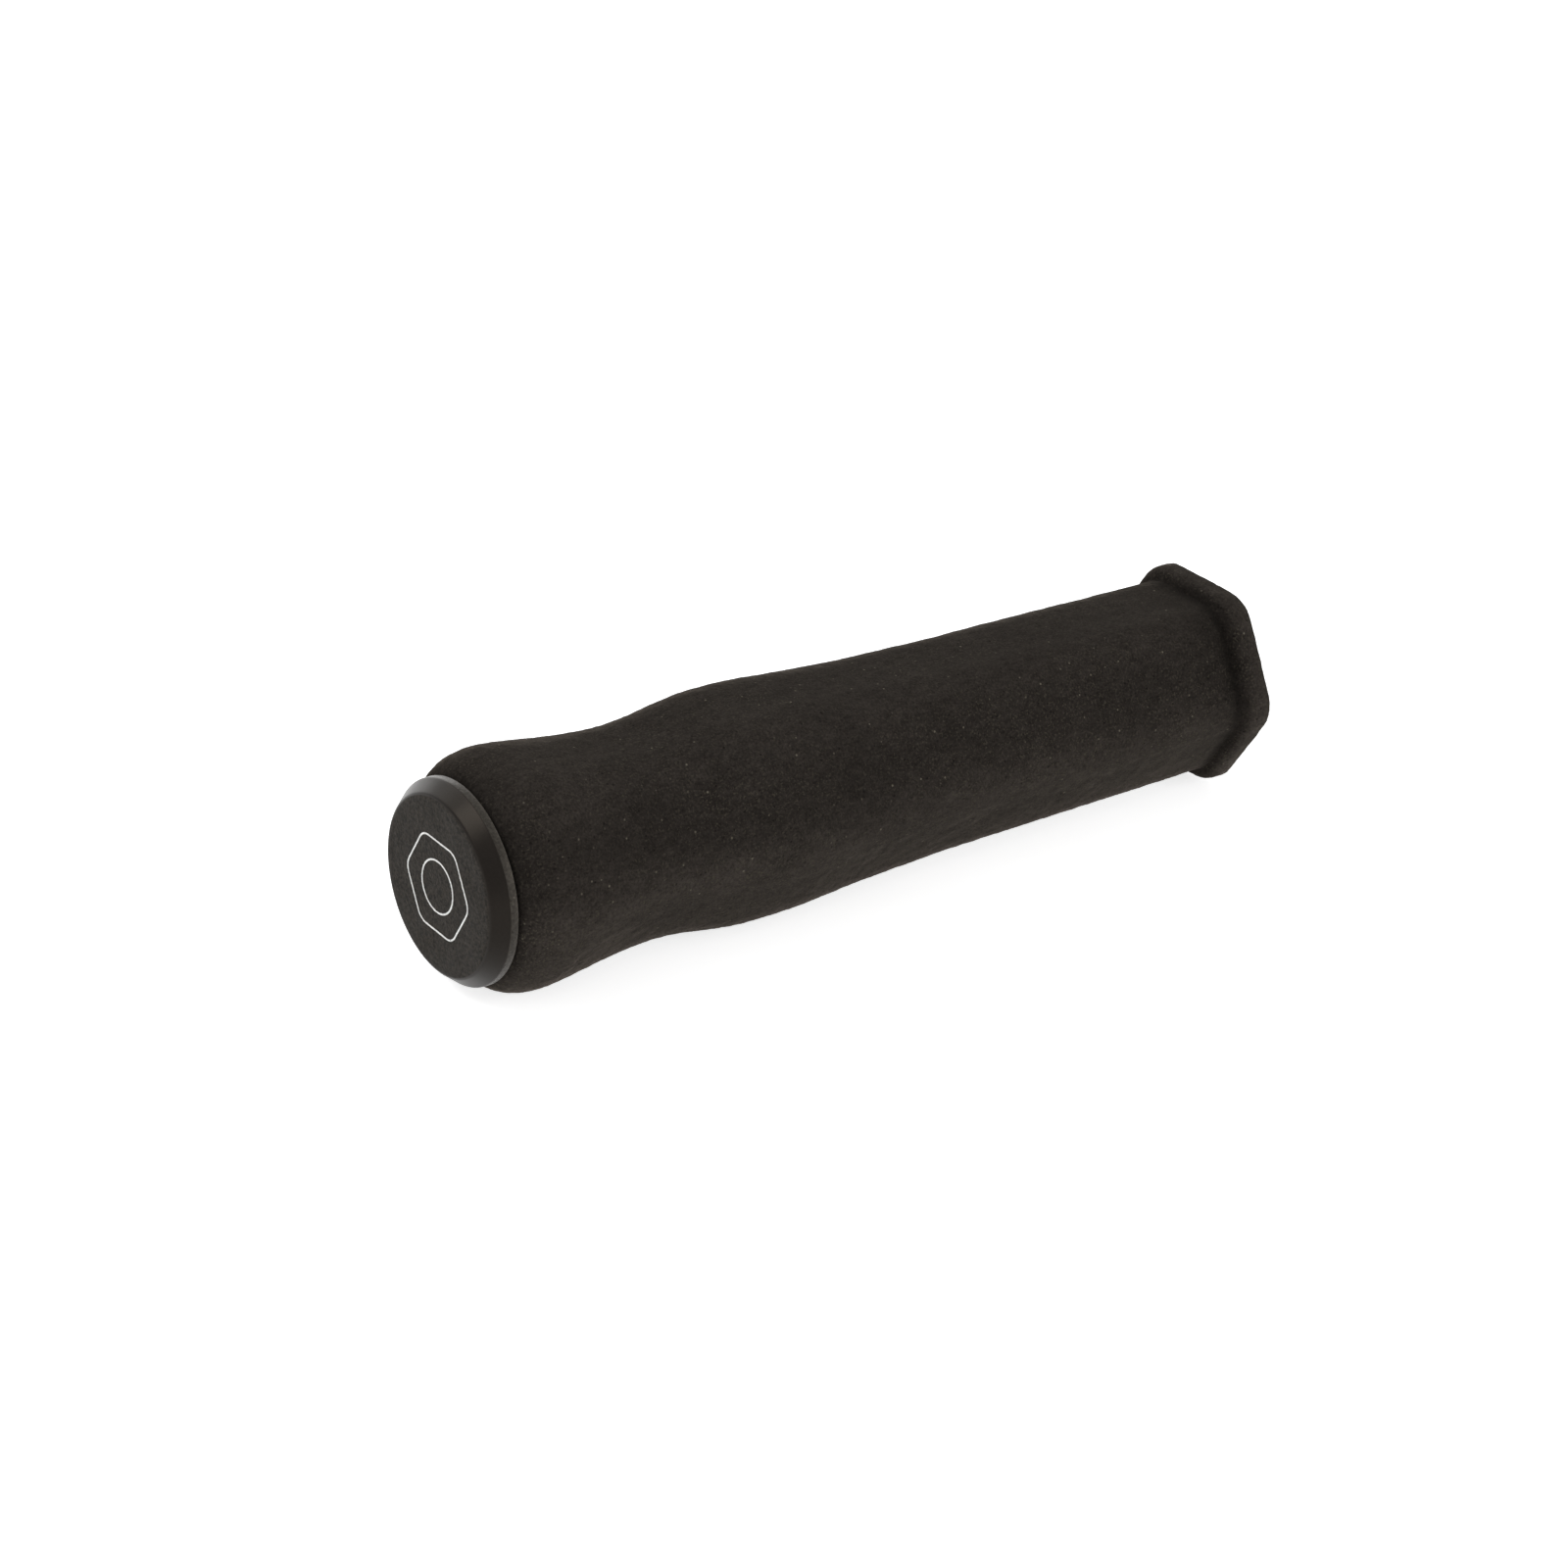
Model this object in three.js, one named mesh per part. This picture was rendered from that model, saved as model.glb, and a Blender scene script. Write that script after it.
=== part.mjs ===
// A push-on foam handlebar grip for a bicycle, its outer end closed by a moulded bar-end plug.
// Millimetres. +X runs along the handlebar, from the plug at the outer end to the flange at the inner
// end. +Z is up. The origin is on the bar's axis, halfway along the finished grip.
import * as THREE from "three";

// Foam sleeve. Its section is a hexagon with rounded corners, which run along the grip as six soft
// ridges. "At" is a distance from the sleeve's outer end, "Ridge" the distance from the axis to the
// top of a ridge, and "Corner" the radius that the ridge is rounded to.
const sleeveLength = 126.5;
const boreRadius = 10; // as moulded, and stretched over a 22.2 mm handlebar in use
const endWall = 2.7;
const endCorner = 10.6;
const bulgeAt = 6.4;
const bulgeRidge = 16.1;
const bulgeCorner = 12.4;
const waistAt = 24.5;
const waistRidge = 14.35;
const waistCorner = 8.4;
const swellAt = 41.5;
const swellRidge = 15.93;
const swellCorner = 8.8;
const palmAt = 85;
const palmRidge = 14.35;
const palmCorner = 6.8;
const footRidge = 14.05;
const footCorner = 5.8;

// Lengths of the curve handles between those places, as shares of the distance to the next place.
const leaveBulge = 0.21;
const reachWaist = 0.37;
const leaveWaist = 0.4;
const reachSwell = 0.42;
const leaveSwell = 0.3;
const reachPalm = 0.75;

// Hexagonal flange at the inner end, moulded in one with the sleeve.
const flangeWidth = 4.2;
const flangeHeight = 1.5;
const flangeCorner = 5;
const footFillet = 0.5;
const crestRadius = 2;

// Bar-end plug. Its head covers the sleeve's outer end, and its hollow stem sits in the bore.
const rimOverhang = 1.05;
const rimWidth = 1.12;
const chamferWidth = 1.7;
const chamferDepth = 2.1;
const edgeRound = 0.45;
const headWall = 1.8;
const seatGap = 0.3;
const stemRadius = 7.6;
const stemWall = 1.6;
const stemLength = 22;
const finCount = 3;
const finPitch = 6;
const finLength = 3.6;
const finEdge = 0.5;
const firstFinAt = 3;
const finClearance = 0.3;

// How finely the curves are divided.
const sideCount = 6;
const arcSteps = 6;
const curveSteps = 8;
const taperSteps = 10;
const boreSteps = 6;
const latheSegments = 72;
const edgeSteps = 3;

// Sizes that follow from those above.
const headThickness = chamferDepth + rimWidth;
const gripLength = headThickness + seatGap + sleeveLength;
const plugFaceX = -gripLength / 2;
const sleeveStartX = plugFaceX + headThickness + seatGap;
const endRidge = boreRadius + endWall;
const rimRadius = endRidge + rimOverhang;
const finRadius = boreRadius - finClearance;
const footAt = sleeveLength - flangeWidth;
const sideAngle = (2 * Math.PI) / sideCount;
const sideCosine = Math.cos(sideAngle / 2);

// Distance from the axis to the flats of a section, from its ridge and corner radius, and back.
function flatRadius(ridge, corner) {
  return (ridge - corner) * sideCosine + corner;
}

function ridgeRadius(flat, corner) {
  return (flat - corner) / sideCosine + corner;
}

// Corner radius at a place on the sleeve, eased between the places where it is given.
function cornerAt(at) {
  const places = [
    [0, endCorner],
    [bulgeAt, bulgeCorner],
    [waistAt, waistCorner],
    [swellAt, swellCorner],
    [palmAt, palmCorner],
    [footAt, footCorner],
  ];
  let corner = endCorner;
  for (let i = 1; i < places.length; i++) {
    const eased = THREE.MathUtils.smoothstep(at, places[i - 1][0], places[i][0]);
    corner += (places[i][1] - places[i - 1][1]) * eased;
  }
  return corner;
}

// A curve that leaves one point and reaches the next with the slopes given, in (at, ridge).
function blend(from, to, leave, reach, endSlope) {
  const span = to.x - from.x;
  return new THREE.CubicBezierCurve(
    from,
    new THREE.Vector2(from.x + leave * span, from.y),
    new THREE.Vector2(to.x - reach * span, to.y - reach * span * endSlope),
    to,
  );
}

// The ridge's profile from the sleeve's outer end to the foot of the flange, as (at, ridge) points.
function ridgeProfile() {
  const bulge = new THREE.Vector2(bulgeAt, bulgeRidge);
  const waist = new THREE.Vector2(waistAt, waistRidge);
  const swell = new THREE.Vector2(swellAt, swellRidge);
  const palm = new THREE.Vector2(palmAt, palmRidge);
  const taper = (footRidge - palmRidge) / (footAt - palmAt);
  const rise = bulgeRidge - endRidge;
  const shoulder = new THREE.EllipseCurve(bulgeAt, endRidge, bulgeAt, rise, Math.PI, Math.PI / 2, true);
  return [
    ...shoulder.getPoints(curveSteps),
    ...blend(bulge, waist, leaveBulge, reachWaist, 0).getPoints(curveSteps).slice(1),
    ...blend(waist, swell, leaveWaist, reachSwell, 0).getPoints(curveSteps).slice(1),
    ...blend(swell, palm, leaveSwell, reachPalm, taper).getPoints(taperSteps).slice(1),
    new THREE.Vector2((palmAt + footAt) / 2, (palmRidge + footRidge) / 2),
    new THREE.Vector2(footAt, footRidge),
  ];
}

// The flange's rise above the flats at its foot, as (distance from the foot, height) points: a small
// fillet, then the rounded crest, then the straight land up to the end face.
function flangeProfile() {
  const bends = footFillet + crestRadius;
  const turn = Math.acos(Math.max(0, 1 - flangeHeight / bends));
  const top = Math.PI / 2;
  const crestAt = bends * Math.sin(turn);
  const fillet = new THREE.EllipseCurve(0, footFillet, footFillet, footFillet, -top, turn - top);
  const crest = new THREE.EllipseCurve(
    crestAt,
    flangeHeight - crestRadius,
    crestRadius,
    crestRadius,
    top + turn,
    top,
    true,
  );
  return [
    ...fillet.getPoints(arcSteps / 2).slice(1),
    ...crest.getPoints(arcSteps),
    new THREE.Vector2(flangeWidth, flangeHeight),
  ];
}

// One hexagonal section with rounded corners, going round from +Y to +Z. After each corner's arc comes
// the middle of the flat that follows it.
function hexagonRing(x, ridge, corner) {
  const centre = ridge - corner;
  const flat = flatRadius(ridge, corner);
  const ring = [];
  for (let side = 0; side < sideCount; side++) {
    const middle = side * sideAngle;
    for (let step = 0; step <= arcSteps; step++) {
      const angle = middle + sideAngle * (step / arcSteps - 0.5);
      const y = centre * Math.cos(middle) + corner * Math.cos(angle);
      const z = centre * Math.sin(middle) + corner * Math.sin(angle);
      ring.push(x, y, z);
    }
    const flatAngle = middle + sideAngle / 2;
    ring.push(x, flat * Math.cos(flatAngle), flat * Math.sin(flatAngle));
  }
  return ring;
}

// A round section with the same number of points, each facing the point of the hexagon beside it.
function roundRing(x, radius) {
  const perSide = arcSteps + 2;
  const ring = [];
  for (let i = 0; i < sideCount * perSide; i++) {
    const angle = sideAngle * ((i + 1) / perSide - 0.5);
    ring.push(x, radius * Math.cos(angle), radius * Math.sin(angle));
  }
  return ring;
}

// Joins each ring to the next, and the last to the first, into one closed tube wall.
function loft(rings) {
  const count = rings[0].length / 3;
  const index = [];
  for (let i = 0; i < rings.length; i++) {
    const here = i * count;
    const next = ((i + 1) % rings.length) * count;
    for (let j = 0; j < count; j++) {
      const k = (j + 1) % count;
      index.push(here + j, here + k, next + k);
      index.push(here + j, next + k, next + j);
    }
  }
  const geometry = new THREE.BufferGeometry();
  geometry.setAttribute("position", new THREE.Float32BufferAttribute(rings.flat(), 3));
  geometry.setIndex(index);
  geometry.computeVertexNormals();
  return geometry;
}

function makeSleeve() {
  const footFlat = flatRadius(footRidge, footCorner);
  const outside = ridgeProfile().map((point) =>
    hexagonRing(sleeveStartX + point.x, point.y, cornerAt(point.x)),
  );
  const flange = flangeProfile().map((point) => {
    const corner = THREE.MathUtils.lerp(footCorner, flangeCorner, point.y / flangeHeight);
    const ridge = ridgeRadius(footFlat + point.y, corner);
    return hexagonRing(sleeveStartX + footAt + point.x, ridge, corner);
  });
  const bore = [];
  for (let step = boreSteps; step >= 0; step--) {
    bore.push(roundRing(sleeveStartX + (sleeveLength * step) / boreSteps, boreRadius));
  }
  return loft([...outside, ...flange, ...bore]);
}

// The plug is turned about +X from its half section, given as (radius, distance from its face) points
// that go from the face over the rim and the flexible fins to the stem's hollow.
function makePlug() {
  const faceRadius = rimRadius - chamferWidth;
  const slope = new THREE.Vector2(chamferWidth, chamferDepth).setLength(edgeRound);
  const stemEnd = headThickness + stemLength;
  const profile = new THREE.Path();
  profile.moveTo(0, 0);
  profile.lineTo(faceRadius - edgeRound, 0);
  profile.quadraticCurveTo(faceRadius, 0, faceRadius + slope.x, slope.y);
  profile.lineTo(rimRadius - slope.x / 2, chamferDepth - slope.y / 2);
  profile.quadraticCurveTo(rimRadius, chamferDepth, rimRadius, chamferDepth + edgeRound / 2);
  profile.lineTo(rimRadius, headThickness - edgeRound / 2);
  profile.quadraticCurveTo(rimRadius, headThickness, rimRadius - edgeRound / 2, headThickness);
  profile.lineTo(stemRadius, headThickness);
  for (let fin = 0; fin < finCount; fin++) {
    const finAt = headThickness + firstFinAt + fin * finPitch;
    profile.lineTo(stemRadius, finAt);
    profile.lineTo(finRadius, finAt + finEdge);
    profile.lineTo(finRadius, finAt + 2 * finEdge);
    profile.lineTo(stemRadius, finAt + finLength);
  }
  profile.lineTo(stemRadius, stemEnd - edgeRound);
  profile.lineTo(stemRadius - edgeRound, stemEnd);
  profile.lineTo(stemRadius - stemWall, stemEnd);
  profile.lineTo(stemRadius - stemWall, headWall);
  profile.lineTo(0, headWall);
  return new THREE.LatheGeometry(profile.getPoints(edgeSteps), latheSegments).rotateZ(-Math.PI / 2);
}

const foam = new THREE.MeshStandardMaterial({ color: 0x2b2724, roughness: 0.95, metalness: 0 });
const plastic = new THREE.MeshStandardMaterial({ color: 0x3d3a36, roughness: 0.5, metalness: 0 });

const sleeve = new THREE.Mesh(makeSleeve(), foam);
sleeve.name = "foam_sleeve";

const plug = new THREE.Mesh(makePlug(), plastic);
plug.name = "end_plug";
plug.position.x = plugFaceX;

const grip = new THREE.Group();
grip.name = "handlebar_grip";
grip.add(sleeve, plug);

export default grip;
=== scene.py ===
import math

import bpy
import numpy as np
from mathutils import Matrix, Vector, noise


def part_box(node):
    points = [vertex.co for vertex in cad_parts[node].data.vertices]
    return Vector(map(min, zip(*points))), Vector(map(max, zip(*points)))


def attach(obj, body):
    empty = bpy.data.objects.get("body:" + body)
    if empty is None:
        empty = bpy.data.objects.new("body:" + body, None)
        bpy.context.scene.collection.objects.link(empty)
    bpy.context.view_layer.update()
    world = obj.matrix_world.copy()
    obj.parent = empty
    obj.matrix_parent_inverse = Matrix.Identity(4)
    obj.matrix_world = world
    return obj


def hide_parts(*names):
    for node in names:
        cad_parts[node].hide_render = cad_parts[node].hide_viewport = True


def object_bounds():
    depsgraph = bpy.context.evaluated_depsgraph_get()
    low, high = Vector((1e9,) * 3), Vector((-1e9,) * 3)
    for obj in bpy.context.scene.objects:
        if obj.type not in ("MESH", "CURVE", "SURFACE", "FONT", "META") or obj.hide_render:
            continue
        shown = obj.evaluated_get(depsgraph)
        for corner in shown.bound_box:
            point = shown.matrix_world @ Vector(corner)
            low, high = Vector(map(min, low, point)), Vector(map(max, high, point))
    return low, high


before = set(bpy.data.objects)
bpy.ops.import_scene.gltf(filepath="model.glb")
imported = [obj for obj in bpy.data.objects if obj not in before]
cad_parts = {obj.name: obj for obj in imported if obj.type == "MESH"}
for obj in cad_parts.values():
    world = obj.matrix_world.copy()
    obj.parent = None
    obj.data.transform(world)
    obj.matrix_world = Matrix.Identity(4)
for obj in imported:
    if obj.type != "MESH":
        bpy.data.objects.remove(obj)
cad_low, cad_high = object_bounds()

# A push-on foam handlebar grip with a moulded bar-end plug, lying on a white table.
# Metres. +X runs along the handlebar from the plug to the flange, and +Z is up.
MM = 0.001

# Where the pieces are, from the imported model.
sleeve_low, sleeve_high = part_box("foam_sleeve")
plug_low, plug_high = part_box("end_plug")
SLEEVE_LENGTH = sleeve_high.x - sleeve_low.x
PLUG_LENGTH = plug_high.x - plug_low.x
RIM_RADIUS = plug_high.y
BULGE_RIDGE = sleeve_high.y

# The sleeve's section is a hexagon with rounded corners. AT is a distance from the sleeve's outer
# end, RIDGE the distance from the axis to the top of a corner, and CORNER the corner's radius.
SIDES = 6
SIDE_ANGLE = 2 * math.pi / SIDES
SIDE_COSINE = math.cos(SIDE_ANGLE / 2)
BORE_RADIUS = 10 * MM
END_RIDGE, END_CORNER = 12.7 * MM, 10.6 * MM
BULGE_AT, BULGE_CORNER = 6.4 * MM, 12.4 * MM
WAIST_AT, WAIST_RIDGE, WAIST_CORNER = 24.5 * MM, 14.35 * MM, 8.4 * MM
SWELL_AT, SWELL_RIDGE, SWELL_CORNER = 41.5 * MM, 15.93 * MM, 8.8 * MM
PALM_AT, PALM_RIDGE, PALM_CORNER = 85 * MM, 14.35 * MM, 6.8 * MM
FOOT_RIDGE, FOOT_CORNER = 14.05 * MM, 5.8 * MM
FLANGE_WIDTH, FLANGE_HEIGHT, FLANGE_CORNER = 4.2 * MM, 1.5 * MM, 5 * MM
FOOT_FILLET, CREST_RADIUS = 0.5 * MM, 2 * MM
FOOT_AT = SLEEVE_LENGTH - FLANGE_WIDTH
FAR_EDGE_ROUND, BORE_EDGE_ROUND = 0.25 * MM, 0.4 * MM

# The curve handles between those places, as shares of the distance to the next place.
LEAVE_BULGE, REACH_WAIST = 0.21, 0.37
LEAVE_WAIST, REACH_SWELL = 0.40, 0.42
LEAVE_SWELL, REACH_PALM = 0.30, 0.75

# How finely the sleeve is divided: each stretch up to the place named, then the flange, then the end
# faces and the bore, and last round each corner and along each flat.
BULGE_STEPS, WAIST_STEPS, SWELL_STEPS, PALM_STEPS, FOOT_STEPS = 24, 48, 45, 110, 95
FILLET_STEPS, CREST_STEPS, LAND_STEPS, EDGE_STEPS = 4, 10, 5, 4
END_FACE_STEPS, BORE_STEPS = 7, 21
CORNER_STEPS, FLAT_STEPS = 26, 14

# The plug's half section, as distances from its face and radii.
CHAMFER_WIDTH, CHAMFER_DEPTH, RIM_WIDTH = 1.7 * MM, 2.1 * MM, 1.12 * MM
HEAD_THICKNESS = CHAMFER_DEPTH + RIM_WIDTH
FACE_RADIUS = RIM_RADIUS - CHAMFER_WIDTH
STEM_RADIUS, STEM_WALL, HEAD_WALL = 7.6 * MM, 1.6 * MM, 1.8 * MM
FIN_RADIUS, FIN_LENGTH, FIN_EDGE = 9.7 * MM, 3.6 * MM, 0.5 * MM
FIN_COUNT, FIN_PITCH, FIRST_FIN_AT = 3, 6 * MM, 3 * MM
FACE_EDGE_ROUND, CHAMFER_EDGE_ROUND, RIM_EDGE_ROUND = 0.8 * MM, 0.35 * MM, 0.24 * MM
RIM_BACK_ROUND, STEM_EDGE_ROUND = 0.1 * MM, 0.3 * MM

# Where a rounding's middle point lies, as a share of it, on the stem's end and on a fin, and how far
# round the stem the head's back has a ring of its own.
ROUND_MIDDLE, FIN_ROUND, STEM_FOOT_RING = 0.3, 0.2, 0.5 * MM

# How finely the plug is divided: its face, its roundings, the flats between them, and round it.
FACE_RINGS, FACE_FIRST_RING = 76, 0.1 * MM
KNEE_STEPS, RIM_STEPS, BACK_STEPS = 10, 6, 4
CHAMFER_STEPS, SIDE_STEPS = 9, 4
PLUG_SEGMENTS = 256

# The grain covers the flat of the face and stops this far inside its edge.
FACE_FLATNESS, GRAIN_MARGIN = 0.01 * MM, 0.5 * MM

# The photograph's camera, fitted to the object's outline: where it stands round the object, how far
# it is rolled, and the pixel of the 1600 pixel frame that shows the middle of the grip's axis.
CAMERA_AZIMUTH, CAMERA_ELEVATION, CAMERA_ROLL = -38.97, 27.20, 4.29
CAMERA_DISTANCE = 0.49975
FOCAL_PIXELS = 3752.4
FRAME_PIXELS = 1600
AIM_PIXEL = (860.95, 785.83)
SENSOR_WIDTH = 36.0

# Fine relief as layers of (grain size, height).
FOAM_GRAIN = [(0.5 * MM, 0.06 * MM), (1.6 * MM, 0.06 * MM), (9 * MM, 0.07 * MM)]
FACE_GRAIN = [(0.24 * MM, 0.035 * MM), (0.6 * MM, 0.02 * MM)]

# The mark on the plug's face: the width of its line, its hexagon, its circle, and how it lies.
PRINT_WIDTH = 0.25 * MM
PRINT_RIDGE, PRINT_CORNER, PRINT_BORE = 7 * MM, 2.2 * MM, 3.6 * MM
PRINT_LIFT, PRINT_SINK = 0.015 * MM, 0.03 * MM
PRINT_CORNER_STEPS, PRINT_FLAT_STEPS = 8, 24

# The foam's colour, and its tone at places along the sleeve: painted shade beside the plug, the darkest
# painted shade in the corner at the flange's foot, and lighter on the flange. Shade and light are also
# painted by height, darker on top and lighter below, with the dust thicker below; it is paler along the
# ridges.
FOAM_COLOUR = (0.0268, 0.0228, 0.0199)
DUST_COLOUR, SPECK_COLOUR = (0.056, 0.050, 0.038), (0.125, 0.112, 0.087)
RIDGE_TONE = (0.93, 1.13)
# Painted shade and light by height: the foam is darker on top and lighter below, eased between these
# heights.
HEIGHT_SHADE_FROM, HEIGHT_SHADE_TONE = (5 * MM, -4 * MM), (0.84, 1.3)
# Painted light from below: the underside is lighter still from the first height to the second.
UNDERLIGHT_FROM, UNDERLIGHT_TONE = (-6.5 * MM, -11 * MM), (1, 1.4)
# Painted shade along the sleeve: dark beside the plug, darkest in the corner at the flange's foot.
TONE_AND_SHADE_ALONG = [
    (0, 0.56),
    (0.9 * MM, 0.71),
    (2.6 * MM, 0.95),
    (5 * MM, 1.09),
    (9 * MM, 1.17),
    (20 * MM, 1.04),
    (FOOT_AT - 9 * MM, 1.0),
    (FOOT_AT - 3.3 * MM, 0.81),
    (FOOT_AT - 2 * MM, 0.74),
    (FOOT_AT - 1.3 * MM, 0.6),
    (FOOT_AT - 0.8 * MM, 0.39),
    (FOOT_AT - 0.2 * MM, 0.33),
    (FOOT_AT + 0.5 * MM, 0.51),
    (FOOT_AT + 0.9 * MM, 0.76),
    (FOOT_AT + 1.4 * MM, 1.13),
    (FOOT_AT + 2.2 * MM, 1.27),
    (FOOT_AT + 3.2 * MM, 1.42),
]

# The foam's markings: how much they are drawn out along the grip, how wide each kind of noise is, how
# far apart its pores and specks are and how far each reaches, the range of each noise that counts, and
# the tones that it brings. A painted sheen pales the foam where it turns away from the view. Dust and
# specks start where the painted shade along the sleeve passes the first of DUSTY_FROM, and are full from
# the second.
FOAM_DRAW = (0.55, 1, 1)
GRAIN_SIZE, LUMP_SIZE, MOTTLE_SIZE = 0.36 * MM, 1.1 * MM, 6 * MM
DUST_SIZE, PATCH_SIZE = 0.3 * MM, 11 * MM
PORE_SPACING, PORE_REACH = 0.75 * MM, 0.2 * MM
SPECK_SPACING, SPECK_REACH = 1.5 * MM, 0.19 * MM
NOISE_RANGE, GRAIN_RANGE, DUST_RANGE, PATCH_RANGE = (0.3, 0.7), (0.28, 0.72), (0.57, 0.7), (0.4, 0.6)
GRAIN_TONE, LUMP_TONE, MOTTLE_TONE, PATCH_TONE = (0.5, 1.5), (0.8, 1.2), (0.88, 1.12), (0.5, 1)
PORE_TONE = 0.4
# Painted sheen: the foam is made lighter where it turns away from the view.
PAINTED_SHEEN_FACING, PAINTED_SHEEN_TONE = (0.66, 0.92), (1, 2.6)
DUSTY_FROM = (0.25, 0.9)
FOAM_ROUGHNESS, FOAM_SHEEN, FOAM_BUMP = (0.84, 0.98), 0.058, 0.08 * MM

# The plug's plastic: its three colours, the size and height of its fine texture where it is smooth and
# where it is grained, its wear, its small pits and flecks, and the painted light along the back of its
# rim.
# A polygon this near the rim or the face takes that one's material.
SMOOTH_COLOUR = (0.0066, 0.0055, 0.0052)
FACE_COLOUR = (0.0122, 0.0103, 0.0083)
RIM_COLOUR = (0.040, 0.036, 0.031)
SMOOTH_TEXTURE, GRAINED_TEXTURE = (0.3 * MM, 0.006 * MM), (0.4 * MM, 0.08 * MM)
TEXTURE_RANGE = (0.36, 0.64)
WEAR_SIZE, WEAR_TONE = 5 * MM, (0.92, 1.08)
PIT_SPACING, PIT_REACH = 0.6 * MM, 0.24 * MM
FLECK_SPACING, FLECK_REACH = 1.1 * MM, 0.2 * MM
# Painted light: the plug is made lighter over this width before the back of its head, up to this factor,
# against the shade beside the foam.
LIT_REAR_WIDTH, LIT_REAR_TONE = 0.6 * MM, 1.6
RIM_BAND, FACE_BAND = 0.1 * MM, 0.08 * MM

# The white ink where it is worn and where it is fresh, and how wide its wear is.
WORN_INK, FRESH_INK = (0.62, 0.62, 0.60), (0.92, 0.92, 0.90)
INK_WEAR_SIZE, INK_WEAR_RANGE = 0.4 * MM, (0.2, 0.8)

# The table reaches this far each way from the grip, in metres.
TABLE_REACH = 3.0

# How much brighter the white table looks than its own light makes it, to the camera and in reflections.
FLOOR_GLOW = 0.72


def ease(value, low, high):
    """0 up to low, 1 from high on, and a smooth step between them."""
    t = np.clip((value - low) / (high - low), 0, 1)
    return t * t * (3 - 2 * t)


def corner_at(at):
    """Corner radius along the sleeve, eased between the places where it is given."""
    places = [
        (0, END_CORNER),
        (BULGE_AT, BULGE_CORNER),
        (WAIST_AT, WAIST_CORNER),
        (SWELL_AT, SWELL_CORNER),
        (PALM_AT, PALM_CORNER),
        (FOOT_AT, FOOT_CORNER),
    ]
    corner = np.full_like(at, END_CORNER)
    for (low, before), (high, after) in zip(places, places[1:]):
        corner += (after - before) * ease(at, low, high)
    return corner


def flat_radius(ridge, corner):
    """Distance from the axis to a section's flats. ridge_radius is the way back."""
    return (ridge - corner) * SIDE_COSINE + corner


def ridge_radius(flat, corner):
    return (flat - corner) / SIDE_COSINE + corner


def bezier(start, end, leave, reach, end_slope, steps):
    """A curve in (at, ridge) that leaves start level and reaches end with the slope given."""
    span = end[0] - start[0]
    points = np.array(
        [
            start,
            (start[0] + leave * span, start[1]),
            (end[0] - reach * span, end[1] - reach * span * end_slope),
            end,
        ]
    )
    t = np.linspace(0, 1, steps + 1)[1:, None]
    return (
        (1 - t) ** 3 * points[0]
        + 3 * t * (1 - t) ** 2 * points[1]
        + 3 * t * t * (1 - t) * points[2]
        + t**3 * points[3]
    )


def arc(centre, radii, start, end, steps):
    """Points on an ellipse in (at, height), angles in degrees from the direction of at."""
    angle = np.radians(np.linspace(start, end, steps + 1))
    return np.stack([centre[0] + radii[0] * np.cos(angle), centre[1] + radii[1] * np.sin(angle)], 1)


def sleeve_profile():
    """Rows of (at, ridge, corner), from the outer end's inner edge along the outside to the flange."""
    shoulder = arc((BULGE_AT, END_RIDGE), (BULGE_AT, BULGE_RIDGE - END_RIDGE), 180, 90, BULGE_STEPS)
    taper = (FOOT_RIDGE - PALM_RIDGE) / (FOOT_AT - PALM_AT)
    bulge, waist = (BULGE_AT, BULGE_RIDGE), (WAIST_AT, WAIST_RIDGE)
    swell, palm = (SWELL_AT, SWELL_RIDGE), (PALM_AT, PALM_RIDGE)
    body = np.concatenate(
        [
            shoulder,
            bezier(bulge, waist, LEAVE_BULGE, REACH_WAIST, 0, WAIST_STEPS),
            bezier(waist, swell, LEAVE_WAIST, REACH_SWELL, 0, SWELL_STEPS),
            bezier(swell, palm, LEAVE_SWELL, REACH_PALM, taper, PALM_STEPS),
            np.linspace(palm, (FOOT_AT, FOOT_RIDGE), FOOT_STEPS + 1)[1:],
        ]
    )
    body = np.column_stack([body, corner_at(body[:, 0])])

    turn = math.degrees(math.acos(1 - FLANGE_HEIGHT / (FOOT_FILLET + CREST_RADIUS)))
    crest_at = (FOOT_FILLET + CREST_RADIUS) * math.sin(math.radians(turn))
    crest = (crest_at, FLANGE_HEIGHT - CREST_RADIUS)
    edge = (FLANGE_WIDTH - FAR_EDGE_ROUND, FLANGE_HEIGHT - FAR_EDGE_ROUND)
    rise = np.concatenate(
        [
            arc((0, FOOT_FILLET), (FOOT_FILLET, FOOT_FILLET), -90, turn - 90, FILLET_STEPS)[1:],
            arc(crest, (CREST_RADIUS, CREST_RADIUS), 90 + turn, 90, CREST_STEPS)[1:],
            np.linspace((crest_at, FLANGE_HEIGHT), (edge[0], FLANGE_HEIGHT), LAND_STEPS + 1)[1:-1],
            arc(edge, (FAR_EDGE_ROUND, FAR_EDGE_ROUND), 90, 0, EDGE_STEPS),
        ]
    )
    corner = FOOT_CORNER + (FLANGE_CORNER - FOOT_CORNER) * rise[:, 1] / FLANGE_HEIGHT
    flat = flat_radius(FOOT_RIDGE, FOOT_CORNER) + rise[:, 1]
    flange = np.column_stack([FOOT_AT + rise[:, 0], ridge_radius(flat, corner), corner])
    return np.concatenate([body, flange])


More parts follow.
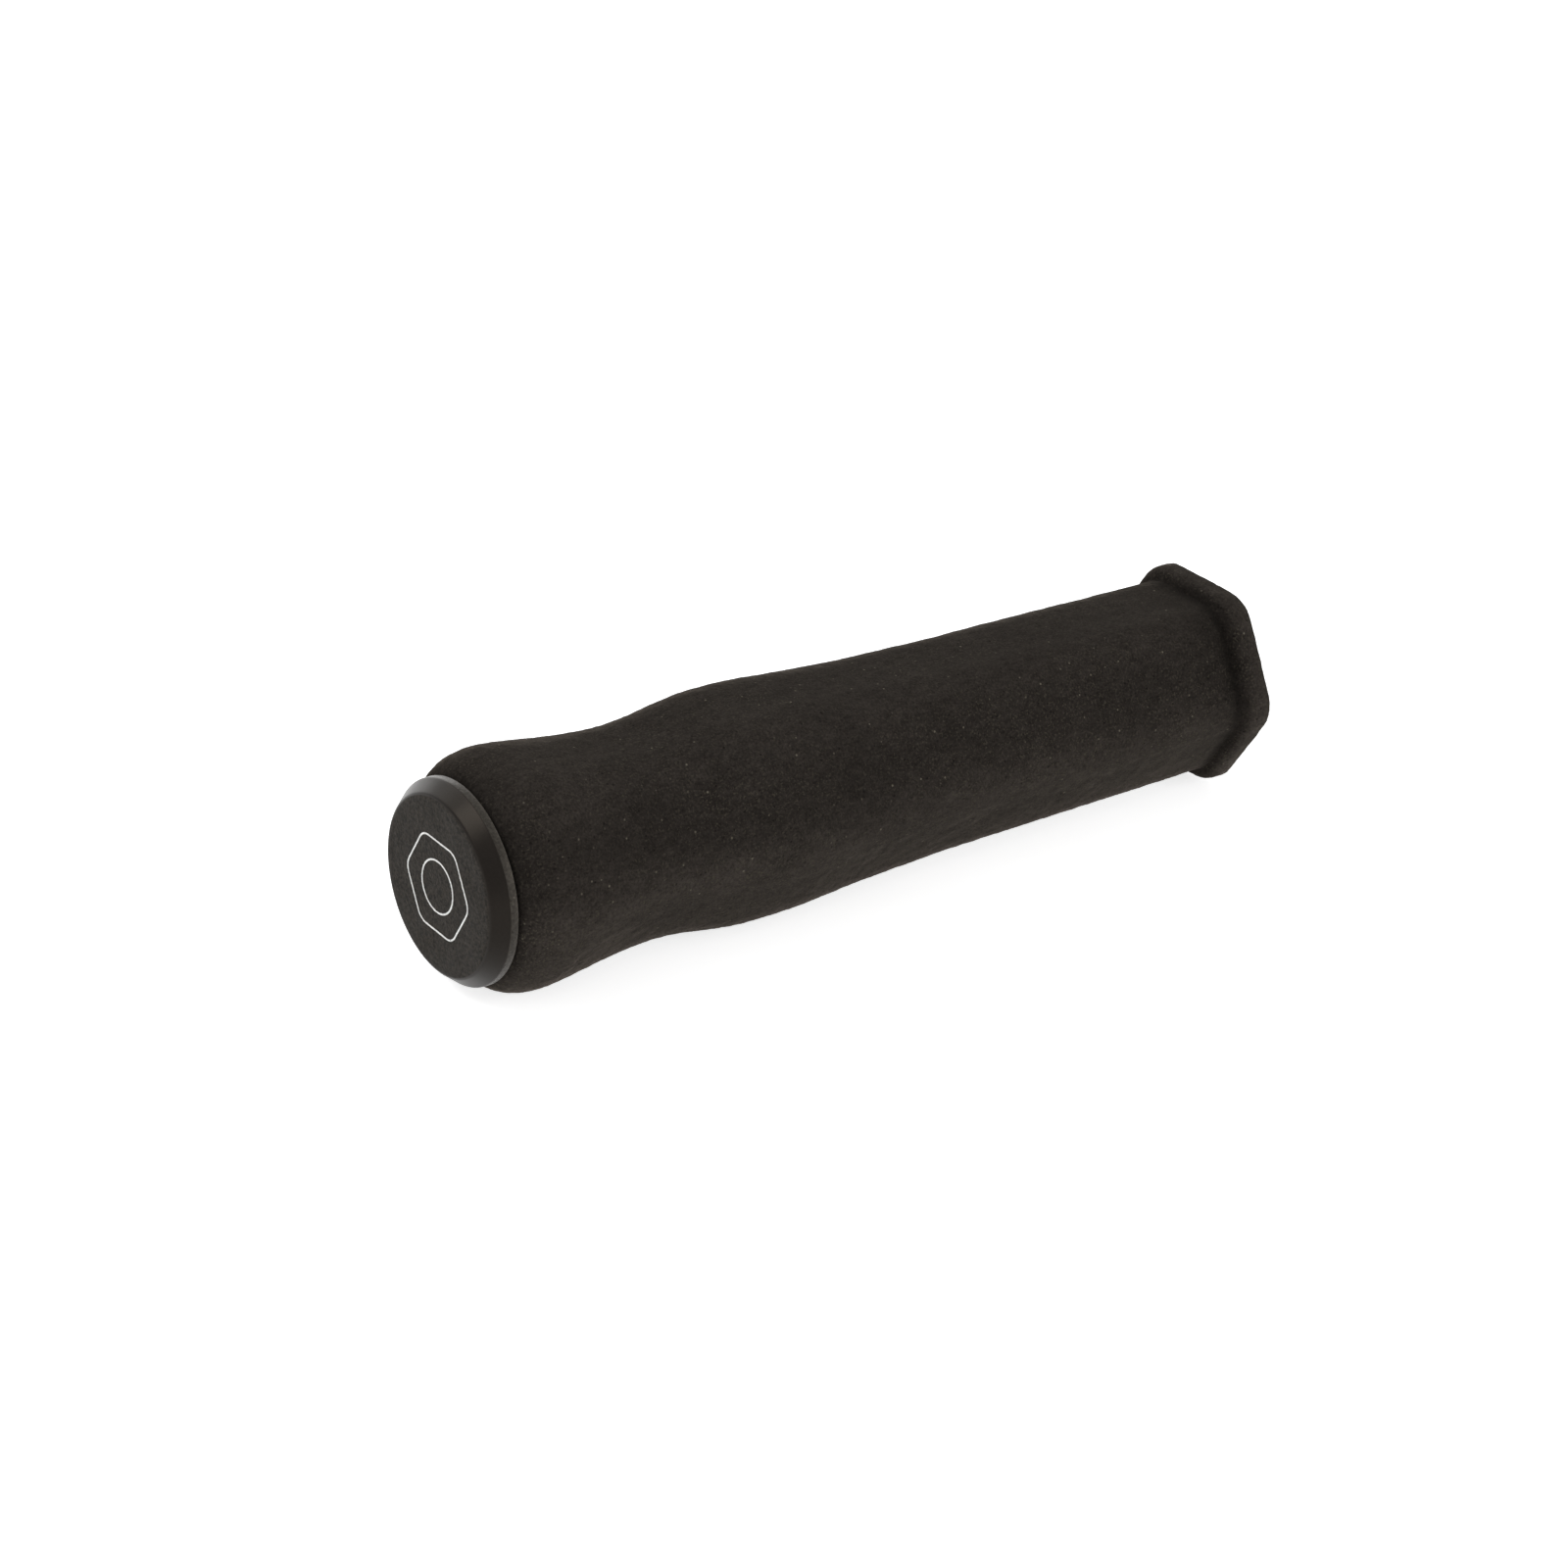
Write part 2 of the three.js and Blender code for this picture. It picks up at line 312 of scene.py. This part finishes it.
def section_rings(profile, arc_steps, flat_steps):
    """Vertices (ring, point, xyz) of rounded hexagons, going round from +Y to +Z."""
    at, ridge, corner = (column[:, None] for column in profile.T)
    flat = flat_radius(ridge, corner)
    half_flat = (ridge - corner) * math.sin(SIDE_ANGLE / 2)
    y, z = [], []
    for side in range(SIDES):
        middle = side * SIDE_ANGLE
        angle = middle + SIDE_ANGLE * (np.arange(arc_steps + 1) / arc_steps - 0.5)
        y.append((ridge - corner) * math.cos(middle) + corner * np.cos(angle))
        z.append((ridge - corner) * math.sin(middle) + corner * np.sin(angle))
        across = middle + SIDE_ANGLE / 2
        along = half_flat * (2 * np.arange(1, flat_steps) / flat_steps - 1)
        y.append(flat * math.cos(across) - along * math.sin(across))
        z.append(flat * math.sin(across) + along * math.cos(across))
    y, z = np.concatenate(y, 1), np.concatenate(z, 1)
    return np.stack([np.broadcast_to(sleeve_low.x + at, y.shape), y, z], 2)


def round_rings(places, radii, like):
    """Circles whose points lie at the same angles as those of one ring of the sleeve."""
    angle = np.arctan2(like[:, 2], like[:, 1])
    x, radius = np.asarray(places)[:, None], np.asarray(radii)[:, None]
    y, z = radius * np.cos(angle), radius * np.sin(angle)
    return np.stack([np.broadcast_to(x, y.shape), y, z], 2)


def mesh_object(name, vertices, faces, smooth=True):
    mesh = bpy.data.meshes.new(name)
    mesh.from_pydata(vertices.tolist(), [], faces)
    mesh.polygons.foreach_set("use_smooth", [smooth] * len(mesh.polygons))
    mesh.validate()
    piece = bpy.data.objects.new(name, mesh)
    bpy.context.scene.collection.objects.link(piece)
    return piece


def tube_faces(ring_count, count):
    """Quads that join each ring of count points to the next, and the last ring to the first."""
    faces = []
    for i in range(ring_count):
        here, there = i * count, ((i + 1) % ring_count) * count
        for j in range(count):
            k = (j + 1) % count
            faces.append((here + j, here + k, there + k, there + j))
    return faces


def grain_height(places, layers):
    """Height of layers of (grain size, height) noise at each place."""

    def height_at(place):
        return sum(height * noise.noise(place / size) for size, height in layers)

    return np.array([height_at(Vector(place)) for place in places])


def face_grain(places):
    """How far the plug's grained face stands proud at each place on it."""
    return grain_height(places, FACE_GRAIN)


def roughen(piece, layers, where=None):
    """Moves vertices along their normals by layers of (grain size, height) noise."""
    mesh = piece.data
    count = len(mesh.vertices)
    place, normal = np.empty(count * 3), np.empty(count * 3)
    mesh.vertices.foreach_get("co", place)
    mesh.vertices.foreach_get("normal", normal)
    place, normal = place.reshape(-1, 3), normal.reshape(-1, 3)
    chosen = np.full(count, True) if where is None else where(place)
    amount = np.zeros(count)
    amount[chosen] = grain_height(place[chosen], layers)
    place += normal * amount[:, None]
    mesh.vertices.foreach_set("co", place.ravel())
    mesh.update()


def make_sleeve():
    outside = section_rings(sleeve_profile(), CORNER_STEPS, FLAT_STEPS)
    first, last = outside[0], outside[-1]
    start_x, end_x = sleeve_low.x, sleeve_high.x
    rounding = BORE_EDGE_ROUND
    edge = arc((-rounding, rounding), (rounding, rounding), 0, -90, EDGE_STEPS)
    end_edge = round_rings(end_x + edge[:, 0], BORE_RADIUS + edge[:, 1], last)
    start_edge = round_rings(start_x - edge[::-1, 0], BORE_RADIUS + edge[::-1, 1], last)
    bore_x = np.linspace(end_x - rounding, start_x + rounding, BORE_STEPS + 1)[1:-1]
    bore = round_rings(bore_x, np.full_like(bore_x, BORE_RADIUS), last)
    share = np.linspace(0, 1, END_FACE_STEPS + 1)[1:-1, None, None]
    end_face = last + (end_edge[0] - last) * share
    start_face = start_edge[-1] + (first - start_edge[-1]) * share
    rings = np.concatenate([outside, end_face, end_edge, bore, start_edge, start_face])
    sleeve = mesh_object("foam_body", rings.reshape(-1, 3), tube_faces(len(rings), len(last)))
    roughen(sleeve, FOAM_GRAIN)
    return sleeve


def plug_profile():
    """The plug's half section as rows of (distance from the face, radius), from face to hollow."""
    slope = np.array([CHAMFER_DEPTH, CHAMFER_WIDTH]) / math.hypot(CHAMFER_DEPTH, CHAMFER_WIDTH)
    face_radii = np.linspace(FACE_FIRST_RING, FACE_RADIUS - FACE_EDGE_ROUND, FACE_RINGS)
    face = np.column_stack([np.zeros(FACE_RINGS), face_radii])
    knee = np.array([0, FACE_RADIUS])
    rim = np.array([CHAMFER_DEPTH, RIM_RADIUS])
    back = np.array([HEAD_THICKNESS, RIM_RADIUS])

    def rounded(before, corner, after, steps):
        t = np.linspace(0, 1, steps + 1)[:, None]
        return (1 - t) ** 2 * before + 2 * t * (1 - t) * corner + t**2 * after

    along, out = np.array([1, 0]), np.array([0, 1])
    knee_round = rounded(knee - FACE_EDGE_ROUND * out, knee, knee + CHAMFER_EDGE_ROUND * slope, KNEE_STEPS)
    rim_round = rounded(rim - RIM_EDGE_ROUND * slope, rim, rim + RIM_EDGE_ROUND * along, RIM_STEPS)
    back_round = rounded(back - RIM_BACK_ROUND * along, back, back - RIM_BACK_ROUND * out, BACK_STEPS)
    chamfer = np.linspace(knee_round[-1], rim_round[0], CHAMFER_STEPS + 1)[1:-1]
    side = np.linspace(rim_round[-1], back_round[0], SIDE_STEPS + 1)[1:-1]
    stem = [(HEAD_THICKNESS, STEM_RADIUS + STEM_FOOT_RING), (HEAD_THICKNESS, STEM_RADIUS)]
    for fin in range(FIN_COUNT):
        at = HEAD_THICKNESS + FIRST_FIN_AT + fin * FIN_PITCH
        stem += [
            (at, STEM_RADIUS),
            (at + (1 - FIN_ROUND) * FIN_EDGE, FIN_RADIUS - FIN_ROUND * FIN_EDGE),
            (at + FIN_EDGE, FIN_RADIUS),
            (at + 2 * FIN_EDGE, FIN_RADIUS),
            (at + FIN_LENGTH, STEM_RADIUS),
        ]
    inner = STEM_RADIUS - STEM_WALL
    middle = ROUND_MIDDLE * STEM_EDGE_ROUND
    stem += [
        (PLUG_LENGTH - STEM_EDGE_ROUND, STEM_RADIUS),
        (PLUG_LENGTH - middle, STEM_RADIUS - middle),
        (PLUG_LENGTH, STEM_RADIUS - STEM_EDGE_ROUND),
        (PLUG_LENGTH, inner + STEM_EDGE_ROUND),
        (PLUG_LENGTH - STEM_EDGE_ROUND, inner),
        (HEAD_WALL + STEM_EDGE_ROUND, inner),
        (HEAD_WALL, inner - STEM_EDGE_ROUND),
        (HEAD_WALL, inner / 2),
    ]
    return np.concatenate([face, knee_round[1:], chamfer, rim_round, side, back_round, np.array(stem)])


def on_face(place):
    """True for the vertices on the flat of the plug's face."""
    flat = place[:, 0] < plug_low.x + FACE_FLATNESS
    return flat & (np.hypot(place[:, 1], place[:, 2]) < FACE_RADIUS - GRAIN_MARGIN)


def make_plug():
    profile = plug_profile()
    segments = PLUG_SEGMENTS
    angle = 2 * math.pi * np.arange(segments) / segments
    x = np.broadcast_to(plug_low.x + profile[:, :1], (len(profile), segments))
    y, z = profile[:, 1:] * np.cos(angle), profile[:, 1:] * np.sin(angle)
    vertices = np.stack([x, y, z], 2).reshape(-1, 3)
    faces = tube_faces(len(profile), segments)[: (len(profile) - 1) * segments]
    face_middle, hollow_middle = len(vertices), len(vertices) + 1
    vertices = np.concatenate([vertices, [(plug_low.x, 0, 0), (plug_low.x + HEAD_WALL, 0, 0)]])
    last = (len(profile) - 1) * segments
    for j in range(segments):
        k = (j + 1) % segments
        faces.append((face_middle, k, j))
        faces.append((hollow_middle, last + j, last + k))
    plug = mesh_object("plug_body", vertices, faces)
    roughen(plug, FACE_GRAIN, on_face)
    return plug


def make_print():
    """A thin printed mark on the plug's face: the grip's own section, a rounded hexagon round a bore."""
    sides = (PRINT_WIDTH / 2, -PRINT_WIDTH / 2)
    rows = [np.array([[0, PRINT_RIDGE + side, PRINT_CORNER + side]]) for side in sides]
    hexagon = [section_rings(row, PRINT_CORNER_STEPS, PRINT_FLAT_STEPS)[0] for row in rows]
    circle = [round_rings([0], [PRINT_BORE + side], hexagon[0])[0] for side in sides]
    count = len(hexagon[0])
    rings, faces = [], []
    for wide, narrow in (hexagon, circle):
        section = [(wide, PRINT_LIFT), (wide, -PRINT_SINK), (narrow, -PRINT_SINK), (narrow, PRINT_LIFT)]
        first = len(rings) * count
        faces += [tuple(first + corner for corner in quad) for quad in tube_faces(len(section), count)]
        for ring, lift in section:
            ring = ring.copy()
            ring[:, 0] = plug_low.x
            ring[:, 0] -= face_grain(ring) + lift
            rings.append(ring)
    return mesh_object("plug_print", np.concatenate(rings), faces, smooth=False)


def nodes_of(name):
    material = bpy.data.materials.new(name)
    material.use_nodes = True
    tree = material.node_tree
    return material, tree, tree.nodes["Principled BSDF"]


def add(tree, kind, inputs=None, **settings):
    node = tree.nodes.new(kind)
    for key, value in settings.items():
        setattr(node, key, value)
    for key, value in (inputs or {}).items():
        socket = node.inputs[key]
        if isinstance(value, bpy.types.NodeSocket):
            tree.links.new(value, socket)
        else:
            socket.default_value = value
    return node


def scaled(tree, colour, factor):
    inputs = {0: colour, "Scale": factor}
    return add(tree, "ShaderNodeVectorMath", inputs, operation="SCALE").outputs["Vector"]


def maths(tree, operation, *values):
    """The result of a maths operation on one or two values."""
    return add(tree, "ShaderNodeMath", dict(enumerate(values)), operation=operation).outputs["Value"]


def ranged(tree, value, source, target, shape="LINEAR"):
    """Value taken from one range to another. Either end of the target may be another socket."""
    (low, high), (start, end) = source, target
    inputs = {"Value": value, "From Min": low, "From Max": high, "To Min": start, "To Max": end}
    return add(tree, "ShaderNodeMapRange", inputs, interpolation_type=shape).outputs["Result"]


def cloud(tree, place, size, detail, roughness):
    inputs = {"Vector": place, "Scale": 1 / size, "Detail": detail, "Roughness": roughness}
    return add(tree, "ShaderNodeTexNoise", inputs).outputs["Fac"]


def product(tree, *factors):
    result = factors[0]
    for factor in factors[1:]:
        result = maths(tree, "MULTIPLY", result, factor)
    return result


def spots(tree, place, spacing, reach, share):
    """1 inside small round spots, and 0 between them. Only a share of the cells has a spot."""
    cells = add(tree, "ShaderNodeTexVoronoi", {"Vector": place, "Scale": 1 / spacing})
    near = ranged(tree, cells.outputs["Distance"], (0.6 * reach / spacing, reach / spacing), (1, 0))
    draws = add(tree, "ShaderNodeSeparateColor", {"Color": cells.outputs["Color"]}).outputs
    chosen = maths(tree, "LESS_THAN", draws["Red"], share)
    return product(tree, near, chosen, draws["Green"])


def foam_material():
    """Ground foam: fine grain with dark pores, pale dust and light specks, painted shade beside the plug,
    in the corner at the flange's foot and on top, painted light below, and a painted sheen where it turns
    away."""
    material, tree, shader = nodes_of("foam")
    place = add(tree, "ShaderNodeTexCoord").outputs["Object"]

    stretch = {0: place, 1: FOAM_DRAW}
    drawn = add(tree, "ShaderNodeVectorMath", stretch, operation="MULTIPLY").outputs["Vector"]
    grain = cloud(tree, place, GRAIN_SIZE, detail=4, roughness=0.72)
    lumps = cloud(tree, drawn, LUMP_SIZE, detail=2, roughness=0.6)
    mottle = cloud(tree, drawn, MOTTLE_SIZE, detail=3, roughness=0.6)
    pores = spots(tree, place, PORE_SPACING, PORE_REACH, share=0.5)
    specks = spots(tree, place, SPECK_SPACING, SPECK_REACH, share=0.6)
    dust_and_painted_light = ranged(tree, cloud(tree, place, DUST_SIZE, detail=1, roughness=0.5), DUST_RANGE, (0, 1))
    patches = cloud(tree, drawn, PATCH_SIZE, detail=2, roughness=0.6)
    patches = ranged(tree, patches, PATCH_RANGE, PATCH_TONE)

    axes = add(tree, "ShaderNodeSeparateXYZ", {"Vector": place}).outputs
    # Painted shade on top and painted light below, by height, with more painted light on the underside.
    painted_underlight = ranged(tree, axes["Z"], UNDERLIGHT_FROM, UNDERLIGHT_TONE)
    wear_and_painted_light = product(tree, ranged(tree, axes["Z"], HEIGHT_SHADE_FROM, HEIGHT_SHADE_TONE, "SMOOTHSTEP"), painted_underlight)
    # Paler along the six ridges and darker on the flats.
    angle = maths(tree, "ARCTAN2", axes["Z"], axes["Y"])
    ridge = maths(tree, "COSINE", product(tree, angle, SIDES))
    ridge_paling = ranged(tree, ridge, (-1, 1), RIDGE_TONE)
    # Painted sheen: lighter where the foam turns away from the view.
    facing = add(tree, "ShaderNodeLayerWeight").outputs["Facing"]
    painted_sheen = ranged(tree, facing, PAINTED_SHEEN_FACING, PAINTED_SHEEN_TONE)

    # Painted shade along the sleeve, from the table of tones, with the flange lighter.
    # A new ramp has two stops. It holds half of each tone, so that none passes 1.
    along = ranged(tree, axes["X"], (sleeve_low.x, sleeve_high.x), (0, 1))
    ramp = add(tree, "ShaderNodeValToRGB", {"Fac": along})
    for number, (at, tone) in enumerate(TONE_AND_SHADE_ALONG):
        stops = ramp.color_ramp.elements
        stop = stops[number] if number < 2 else stops.new(1)
        stop.position, stop.color = at / SLEEVE_LENGTH, (tone / 2, tone / 2, tone / 2, 1)
    tone_and_shade_along = product(tree, ramp.outputs["Color"], 2.0)

    grain_tone = ranged(tree, grain, GRAIN_RANGE, GRAIN_TONE)
    lump_tone = ranged(tree, lumps, NOISE_RANGE, LUMP_TONE)
    mottle_tone = ranged(tree, mottle, NOISE_RANGE, MOTTLE_TONE)
    pore_tone = ranged(tree, pores, (0, 1), (1, PORE_TONE))
    tone = product(tree, grain_tone, lump_tone, mottle_tone, pore_tone, tone_and_shade_along, wear_and_painted_light, ridge_paling, painted_sheen)
    colour = scaled(tree, FOAM_COLOUR, tone)
    # Dust and specks are kept out of the painted shade along the sleeve, and the dust grows with the
    # painted light below.
    clear_of_painted_shade = ranged(tree, tone_and_shade_along, DUSTY_FROM, (0, 1))
    dust_and_painted_light = product(tree, dust_and_painted_light, patches, wear_and_painted_light, wear_and_painted_light, clear_of_painted_shade)
    for amount, light in ((dust_and_painted_light, DUST_COLOUR), (product(tree, specks, clear_of_painted_shade), SPECK_COLOUR)):
        mixed = add(tree, "ShaderNodeMix", {"Factor": amount}, data_type="RGBA")
        tree.links.new(colour, mixed.inputs["A"])
        mixed.inputs["B"].default_value = (*light, 1)
        colour = mixed.outputs["Result"]
    tree.links.new(colour, shader.inputs["Base Color"])

    height = maths(tree, "ADD", grain, pore_tone)
    bump = add(tree, "ShaderNodeBump", {"Strength": 0.7, "Distance": FOAM_BUMP, "Height": height})
    tree.links.new(bump.outputs["Normal"], shader.inputs["Normal"])
    tree.links.new(ranged(tree, mottle, (0, 1), FOAM_ROUGHNESS), shader.inputs["Roughness"])
    shader.inputs["Specular IOR Level"].default_value = 0.0
    shader.inputs["Sheen Weight"].default_value = FOAM_SHEEN
    shader.inputs["Sheen Roughness"].default_value = 0.5
    shader.inputs["Sheen Tint"].default_value = (1.0, 0.9, 0.78, 1)
    return material


def plug_material(name, colour, texture, contrast, pitted, roughness, specular):
    """Moulded plastic. Texture is the size and height of its fine grain, contrast the range of its tone,
    and pitted how much its small pits and flecks stand out."""
    material, tree, shader = nodes_of(name)
    place = add(tree, "ShaderNodeTexCoord").outputs["Object"]
    fine = cloud(tree, place, texture[0], detail=3, roughness=0.7)
    wear = cloud(tree, place, WEAR_SIZE, detail=4, roughness=0.5)
    pits = spots(tree, place, PIT_SPACING, PIT_REACH, share=0.6)
    pits = ranged(tree, pits, (0, 1), (1, 1 - pitted))
    flecks = spots(tree, place, FLECK_SPACING, FLECK_REACH, share=0.6)
    flecks = ranged(tree, flecks, (0, 1), (1, 1 + 2 * pitted))
    along = add(tree, "ShaderNodeSeparateXYZ", {"Vector": place}).outputs["X"]
    back = plug_low.x + HEAD_THICKNESS
    # Painted light, lifting the shade beside the foam at the back of the head.
    painted_rear_light = ranged(tree, along, (back - LIT_REAR_WIDTH, back), (1, LIT_REAR_TONE))
    wear_and_painted_light = ranged(tree, wear, NOISE_RANGE, WEAR_TONE)
    tone = product(tree, ranged(tree, fine, TEXTURE_RANGE, contrast), pits, flecks, wear_and_painted_light, painted_rear_light)
    tree.links.new(scaled(tree, colour, tone), shader.inputs["Base Color"])
    tree.links.new(ranged(tree, wear, NOISE_RANGE, roughness), shader.inputs["Roughness"])
    bump = add(tree, "ShaderNodeBump", {"Strength": 0.6, "Distance": texture[1], "Height": fine})
    tree.links.new(bump.outputs["Normal"], shader.inputs["Normal"])
    shader.inputs["Specular IOR Level"].default_value = specular
    shader.inputs["Specular Tint"].default_value = (1.0, 0.87, 0.72, 1)
    return material


def dress_plug(plug):
    """Smooth plastic all over, grained on the flat of the face, grained and paler round the rim, and
    painted lighter at the back of the rim.
    """
    smooth = plug_material(
        "plug_smooth", SMOOTH_COLOUR, SMOOTH_TEXTURE,
        contrast=(0.85, 1.15), pitted=0, roughness=(0.28, 0.36), specular=0.15,
    )
    face = plug_material(
        "plug_face", FACE_COLOUR, GRAINED_TEXTURE,
        contrast=(0, 2.0), pitted=0.7, roughness=(0.55, 0.65), specular=0.12,
    )
    rim = plug_material(
        "plug_rim", RIM_COLOUR, GRAINED_TEXTURE,
        contrast=(0.7, 1.3), pitted=0.3, roughness=(0.25, 0.32), specular=0.12,
    )
    for material in (smooth, face, rim):
        plug.data.materials.append(material)
    for polygon in plug.data.polygons:
        middle = polygon.center
        from_face, radius = middle.x - plug_low.x, math.hypot(middle.y, middle.z)
        if from_face < FACE_BAND and radius < FACE_RADIUS:
            polygon.material_index = 1
        elif radius > RIM_RADIUS - RIM_BAND and CHAMFER_DEPTH < from_face < HEAD_THICKNESS:
            polygon.material_index = 2


def print_material():
    material, tree, shader = nodes_of("white_print")
    place = add(tree, "ShaderNodeTexCoord").outputs["Object"]
    wear = cloud(tree, place, INK_WEAR_SIZE, detail=3, roughness=0.5)
    fresh = ranged(tree, wear, INK_WEAR_RANGE, (0, 1))
    ink = add(tree, "ShaderNodeMix", {"Factor": fresh}, data_type="RGBA")
    ink.inputs["A"].default_value = (*WORN_INK, 1)
    ink.inputs["B"].default_value = (*FRESH_INK, 1)
    tree.links.new(ink.outputs["Result"], shader.inputs["Base Color"])
    shader.inputs["Roughness"].default_value = 0.5
    return material


def camera_back():
    """Unit vector from the grip towards the camera."""
    a, e = math.radians(CAMERA_AZIMUTH), math.radians(CAMERA_ELEVATION)
    return Vector((math.sin(a) * math.cos(e), -math.cos(a) * math.cos(e), math.sin(e)))


def make_camera():
    a, r = math.radians(CAMERA_AZIMUTH), math.radians(CAMERA_ROLL)
    back = camera_back()
    level = Vector((math.cos(a), math.sin(a), 0))
    up = back.cross(level)
    right = math.cos(r) * level + math.sin(r) * up
    above = math.cos(r) * up - math.sin(r) * level
    half = FRAME_PIXELS / 2
    across = (AIM_PIXEL[0] - half) / FOCAL_PIXELS * CAMERA_DISTANCE
    down = (AIM_PIXEL[1] - half) / FOCAL_PIXELS * CAMERA_DISTANCE
    data = bpy.data.cameras.new("camera")
    data.sensor_width = SENSOR_WIDTH
    data.lens = FOCAL_PIXELS * SENSOR_WIDTH / FRAME_PIXELS
    data.clip_start, data.clip_end = 0.01, 20
    camera = bpy.data.objects.new("camera", data)
    place = CAMERA_DISTANCE * back - across * right + down * above
    turn = Matrix((right, above, back)).transposed()
    camera.matrix_world = Matrix.Translation(place) @ turn.to_4x4()
    bpy.context.scene.collection.objects.link(camera)
    bpy.context.scene.camera = camera


def softbox(name, place, size, radiance, aim=(0, 0, 0), spread=180):
    """A lamp of (width, height) that faces its aim and looks as bright as a white of that radiance."""
    data = bpy.data.lights.new(name, "AREA")
    data.shape = "RECTANGLE"
    data.size, data.size_y = size
    data.energy = radiance * math.pi * size[0] * size[1]
    data.spread = math.radians(spread)
    light = bpy.data.objects.new(name, data)
    light.location = place
    light.rotation_mode = "QUATERNION"
    light.rotation_quaternion = (Vector(place) - Vector(aim)).to_track_quat("Z", "Y")
    light.visible_camera = False
    bpy.context.scene.collection.objects.link(light)


def seen_as_background(tree):
    """1 where a ray comes from the camera, a reflection or a refraction, and 0 elsewhere."""
    path = add(tree, "ShaderNodeLightPath").outputs
    mirrored = maths(tree, "MAXIMUM", path["Is Glossy Ray"], path["Is Transmission Ray"])
    return maths(tree, "MAXIMUM", path["Is Camera Ray"], mirrored)


def make_world(ambient, front, behind):
    """White where the camera or a reflection sees it, and soft light, stronger in front and behind."""
    world = bpy.data.worlds.new("studio")
    world.use_nodes = True
    tree = world.node_tree
    direction = add(tree, "ShaderNodeTexCoord").outputs["Generated"]
    azimuth = math.radians(CAMERA_AZIMUTH)
    forward = (math.sin(azimuth), -math.cos(azimuth), 0)
    dot = add(tree, "ShaderNodeVectorMath", {0: direction, 1: forward}, operation="DOT_PRODUCT")
    facing = dot.outputs["Value"]
    before = ranged(tree, facing, (0.2, 0.8), (ambient, ambient + front))
    after = ranged(tree, facing, (-0.8, -0.2), (behind, 0))
    strength = ranged(tree, seen_as_background(tree), (0, 1), (maths(tree, "ADD", before, after), 1.0))
    tree.links.new(strength, tree.nodes["Background"].inputs["Strength"])
    tree.nodes["Background"].inputs["Color"].default_value = (1, 1, 1, 1)
    bpy.context.scene.world = world


def make_floor():
    corners = TABLE_REACH * np.array([(-1, -1, 0), (1, -1, 0), (1, 1, 0), (-1, 1, 0)])
    floor = mesh_object("floor", corners, [(0, 1, 2, 3)])
    floor.location.z = cad_low.z
    material, tree, shader = nodes_of("white_table")
    shader.inputs["Base Color"].default_value = (0.93, 0.93, 0.93, 1)
    shader.inputs["Roughness"].default_value = 0.9
    shader.inputs["Specular IOR Level"].default_value = 0.0
    glow = product(tree, seen_as_background(tree), FLOOR_GLOW)
    tree.links.new(glow, shader.inputs["Emission Strength"])
    shader.inputs["Emission Color"].default_value = (1, 1, 1, 1)
    floor.data.materials.append(material)


bpy.context.scene.view_settings.view_transform = "Standard"
make_camera()
make_world(ambient=0.2, front=0.88, behind=0.1)

# The lamps, each with its place, its size and its radiance.
softbox("high_left", (-0.44, 0.13, 0.63), (0.4, 0.4), 4.6)
softbox("high_behind", (-0.27, 0.56, 0.52), (0.3, 0.3), 2.6)
softbox("low_behind", (0.16, 0.76, 0.2), (0.9, 0.4), 1.6)
softbox("front_right", (0.45, -0.60, 0.30), (0.22, 0.22), 5.0)
softbox("table_before", (0, -0.27, 0.25), (0.4, 0.25), 1.5, aim=(0, -0.27, 0), spread=50)
softbox("table_behind", (0, 0.27, 0.25), (0.4, 0.25), 0.6, aim=(0, 0.27, 0), spread=50)

make_floor()

sleeve = make_sleeve()
sleeve.data.materials.append(foam_material())
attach(sleeve, "root")
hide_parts("foam_sleeve")

plug = make_plug()
dress_plug(plug)
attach(plug, "root")
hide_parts("end_plug")

mark = make_print()
mark.data.materials.append(print_material())
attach(mark, "root")
